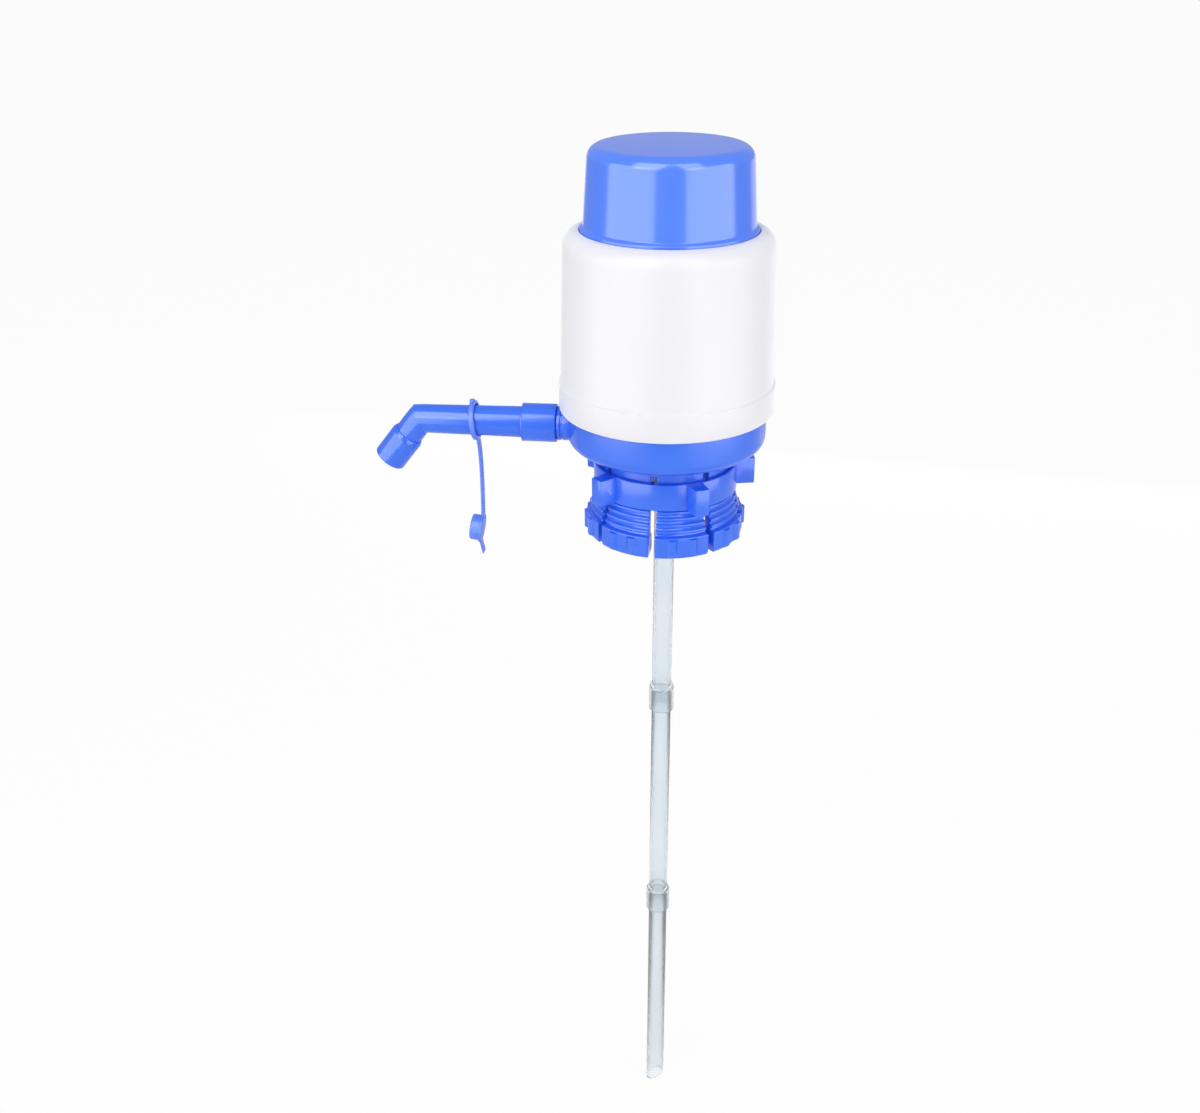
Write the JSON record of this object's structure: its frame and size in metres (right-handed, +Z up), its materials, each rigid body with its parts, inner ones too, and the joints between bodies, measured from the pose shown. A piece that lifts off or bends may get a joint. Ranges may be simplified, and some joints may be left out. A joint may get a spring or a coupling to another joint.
{
  "type": "water jug hand pump",
  "caption": "Hand pump for a water jug: push cap over a bellows in a round cover, bent spout with tethered plug, slotted neck collet with clamp ring, dip tube.",
  "frame": {"origin": "on the pump's axis, in the plane where the mouth of the jug meets the gasket", "axes": "+Z up along the pump's axis, towards the cap; the spout points along -X"},
  "size_m": [0.2004, 0.1052, 0.5775],
  "materials": {
    "white_shell": "smooth moulded ABS, white, soft gloss",
    "blue_shell": "moulded polypropylene, strong blue, soft gloss",
    "blue_cap": "moulded polypropylene, lighter blue, glossy",
    "white_inner": "natural white moulding",
    "bellows_rubber": "translucent soft polyethylene",
    "valve_rubber": "translucent silicone",
    "seal_rubber": "grey silicone",
    "tether_plastic": "soft translucent pale blue moulding",
    "tube_plastic": "translucent natural polypropylene tube",
    "spring_steel": "stainless wire",
    "screw_steel": "stainless self-tapping screws"
  },
  "bodies": {
    "base": {"outer_cover": "white_shell", "bellows": "bellows_rubber", "return_spring": "spring_steel", "bellows_ring": "white_inner", "valve_plate": "white_inner", "plate_seal": "seal_rubber", "pump_base": "blue_shell", "neck_gasket": "seal_rubber", "neck_collet": "blue_shell", "spout_seal": "seal_rubber", "dip_tube_upper": "tube_plastic", "dip_tube_middle": "tube_plastic", "dip_tube_lower": "tube_plastic", "ring_screw_1": "screw_steel", "ring_screw_2": "screw_steel", "ring_screw_3": "screw_steel", "ring_screw_4": "screw_steel", "collet_screw_1": "screw_steel", "collet_screw_2": "screw_steel", "collet_screw_3": "screw_steel", "collet_screw_4": "screw_steel"},
    "cap": {"push_cap": "blue_cap", "cap_plate": "white_inner", "cap_screw_1": "screw_steel", "cap_screw_2": "screw_steel", "cap_screw_3": "screw_steel"},
    "intake": {"intake_valve": "valve_rubber"},
    "outlet": {"outlet_valve": "valve_rubber"},
    "clamp": {"clamp_ring": "blue_shell"},
    "spout": {"spout_coupling": "blue_shell", "spout_pipe": "blue_shell", "nozzle_sleeve": "blue_shell"},
    "tether": {"spout_plug": "tether_plastic"}
  },
  "joints": [
    {"name": "cap_press", "type": "slide", "parent": "base", "child": "cap", "axis": [0, 0, -1], "range_m": [0, 0.032], "stiffness_N_per_m": 250, "springref_m": -0.02, "deforming": ["bellows", "return_spring"]},
    {"name": "intake_lift", "type": "slide", "parent": "cap", "child": "intake", "axis": [0, 0, -1], "range_m": [0, 0.0012], "stiffness_N_per_m": 40, "springref_m": -0.0005},
    {"name": "outlet_lift", "type": "slide", "parent": "base", "child": "outlet", "axis": [0, 0, -1], "range_m": [0, 0.0012], "stiffness_N_per_m": 40, "springref_m": -0.0005},
    {"name": "clamp_turn", "type": "hinge", "parent": "base", "child": "clamp", "pos_m": [0, 0, -0.0125], "axis": [0, 0, 1], "range_deg": [-180, 0]},
    {"name": "spout_turn", "type": "hinge", "parent": "base", "child": "spout", "pos_m": [-0.0539, 0, 0.0106], "axis": [-1, 0, 0], "range_deg": [-90, 90]},
    {"name": "tether_swing", "type": "hinge", "parent": "spout", "child": "tether", "pos_m": [-0.0959, 0, 0.0106], "axis": [-1, 0, 0], "continuous": true}
  ]
}
